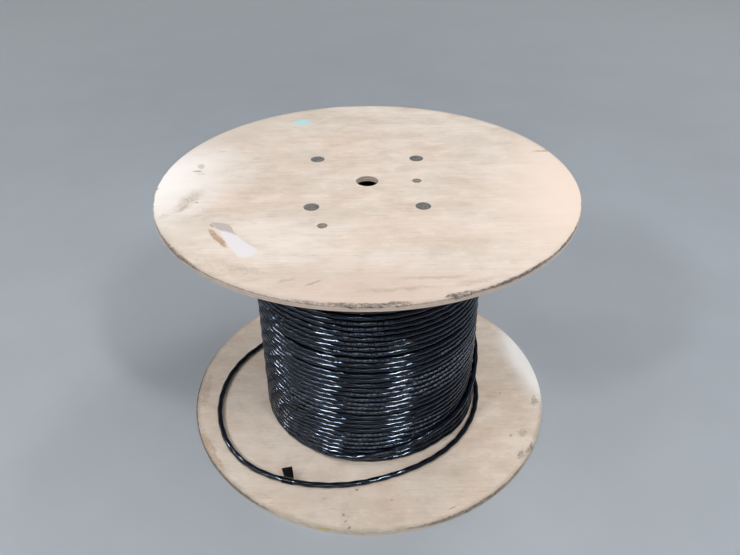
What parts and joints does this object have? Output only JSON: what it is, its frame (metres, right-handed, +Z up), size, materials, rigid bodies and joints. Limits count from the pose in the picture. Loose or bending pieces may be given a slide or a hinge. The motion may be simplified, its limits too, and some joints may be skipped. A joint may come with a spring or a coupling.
{
  "type": "cable drum",
  "caption": "Plywood cable drum with round flanges on a tube core, tie rods and sunk nuts, wound with black round cable whose loose end lies on the lower flange.",
  "frame": {"origin": "centre of the lower flange's underside, on the floor", "axes": "+Z up along the drum's axis, +X to the right and -Y towards the viewer of the picture"},
  "size_m": [0.7111, 0.7112, 0.483],
  "materials": {
    "plywood": "matte",
    "fibre_board": "matte",
    "cable_jacket": "gloss",
    "black_tape": "satin",
    "zinc_steel": "satin"
  },
  "bodies": {
    "root": {"flange_bottom": "plywood", "flange_top": "plywood", "core_tube": "fibre_board", "cable_winding": "cable_jacket", "cable_tail": "cable_jacket", "tape_flag": "black_tape", "tie_rod_1": "zinc_steel", "tee_nut_bottom_1": "zinc_steel", "tee_nut_top_1": "zinc_steel", "tie_rod_2": "zinc_steel", "tee_nut_bottom_2": "zinc_steel", "tee_nut_top_2": "zinc_steel", "tie_rod_3": "zinc_steel", "tee_nut_bottom_3": "zinc_steel", "tee_nut_top_3": "zinc_steel", "tie_rod_4": "zinc_steel", "tee_nut_bottom_4": "zinc_steel", "tee_nut_top_4": "zinc_steel"}
  },
  "joints": []
}
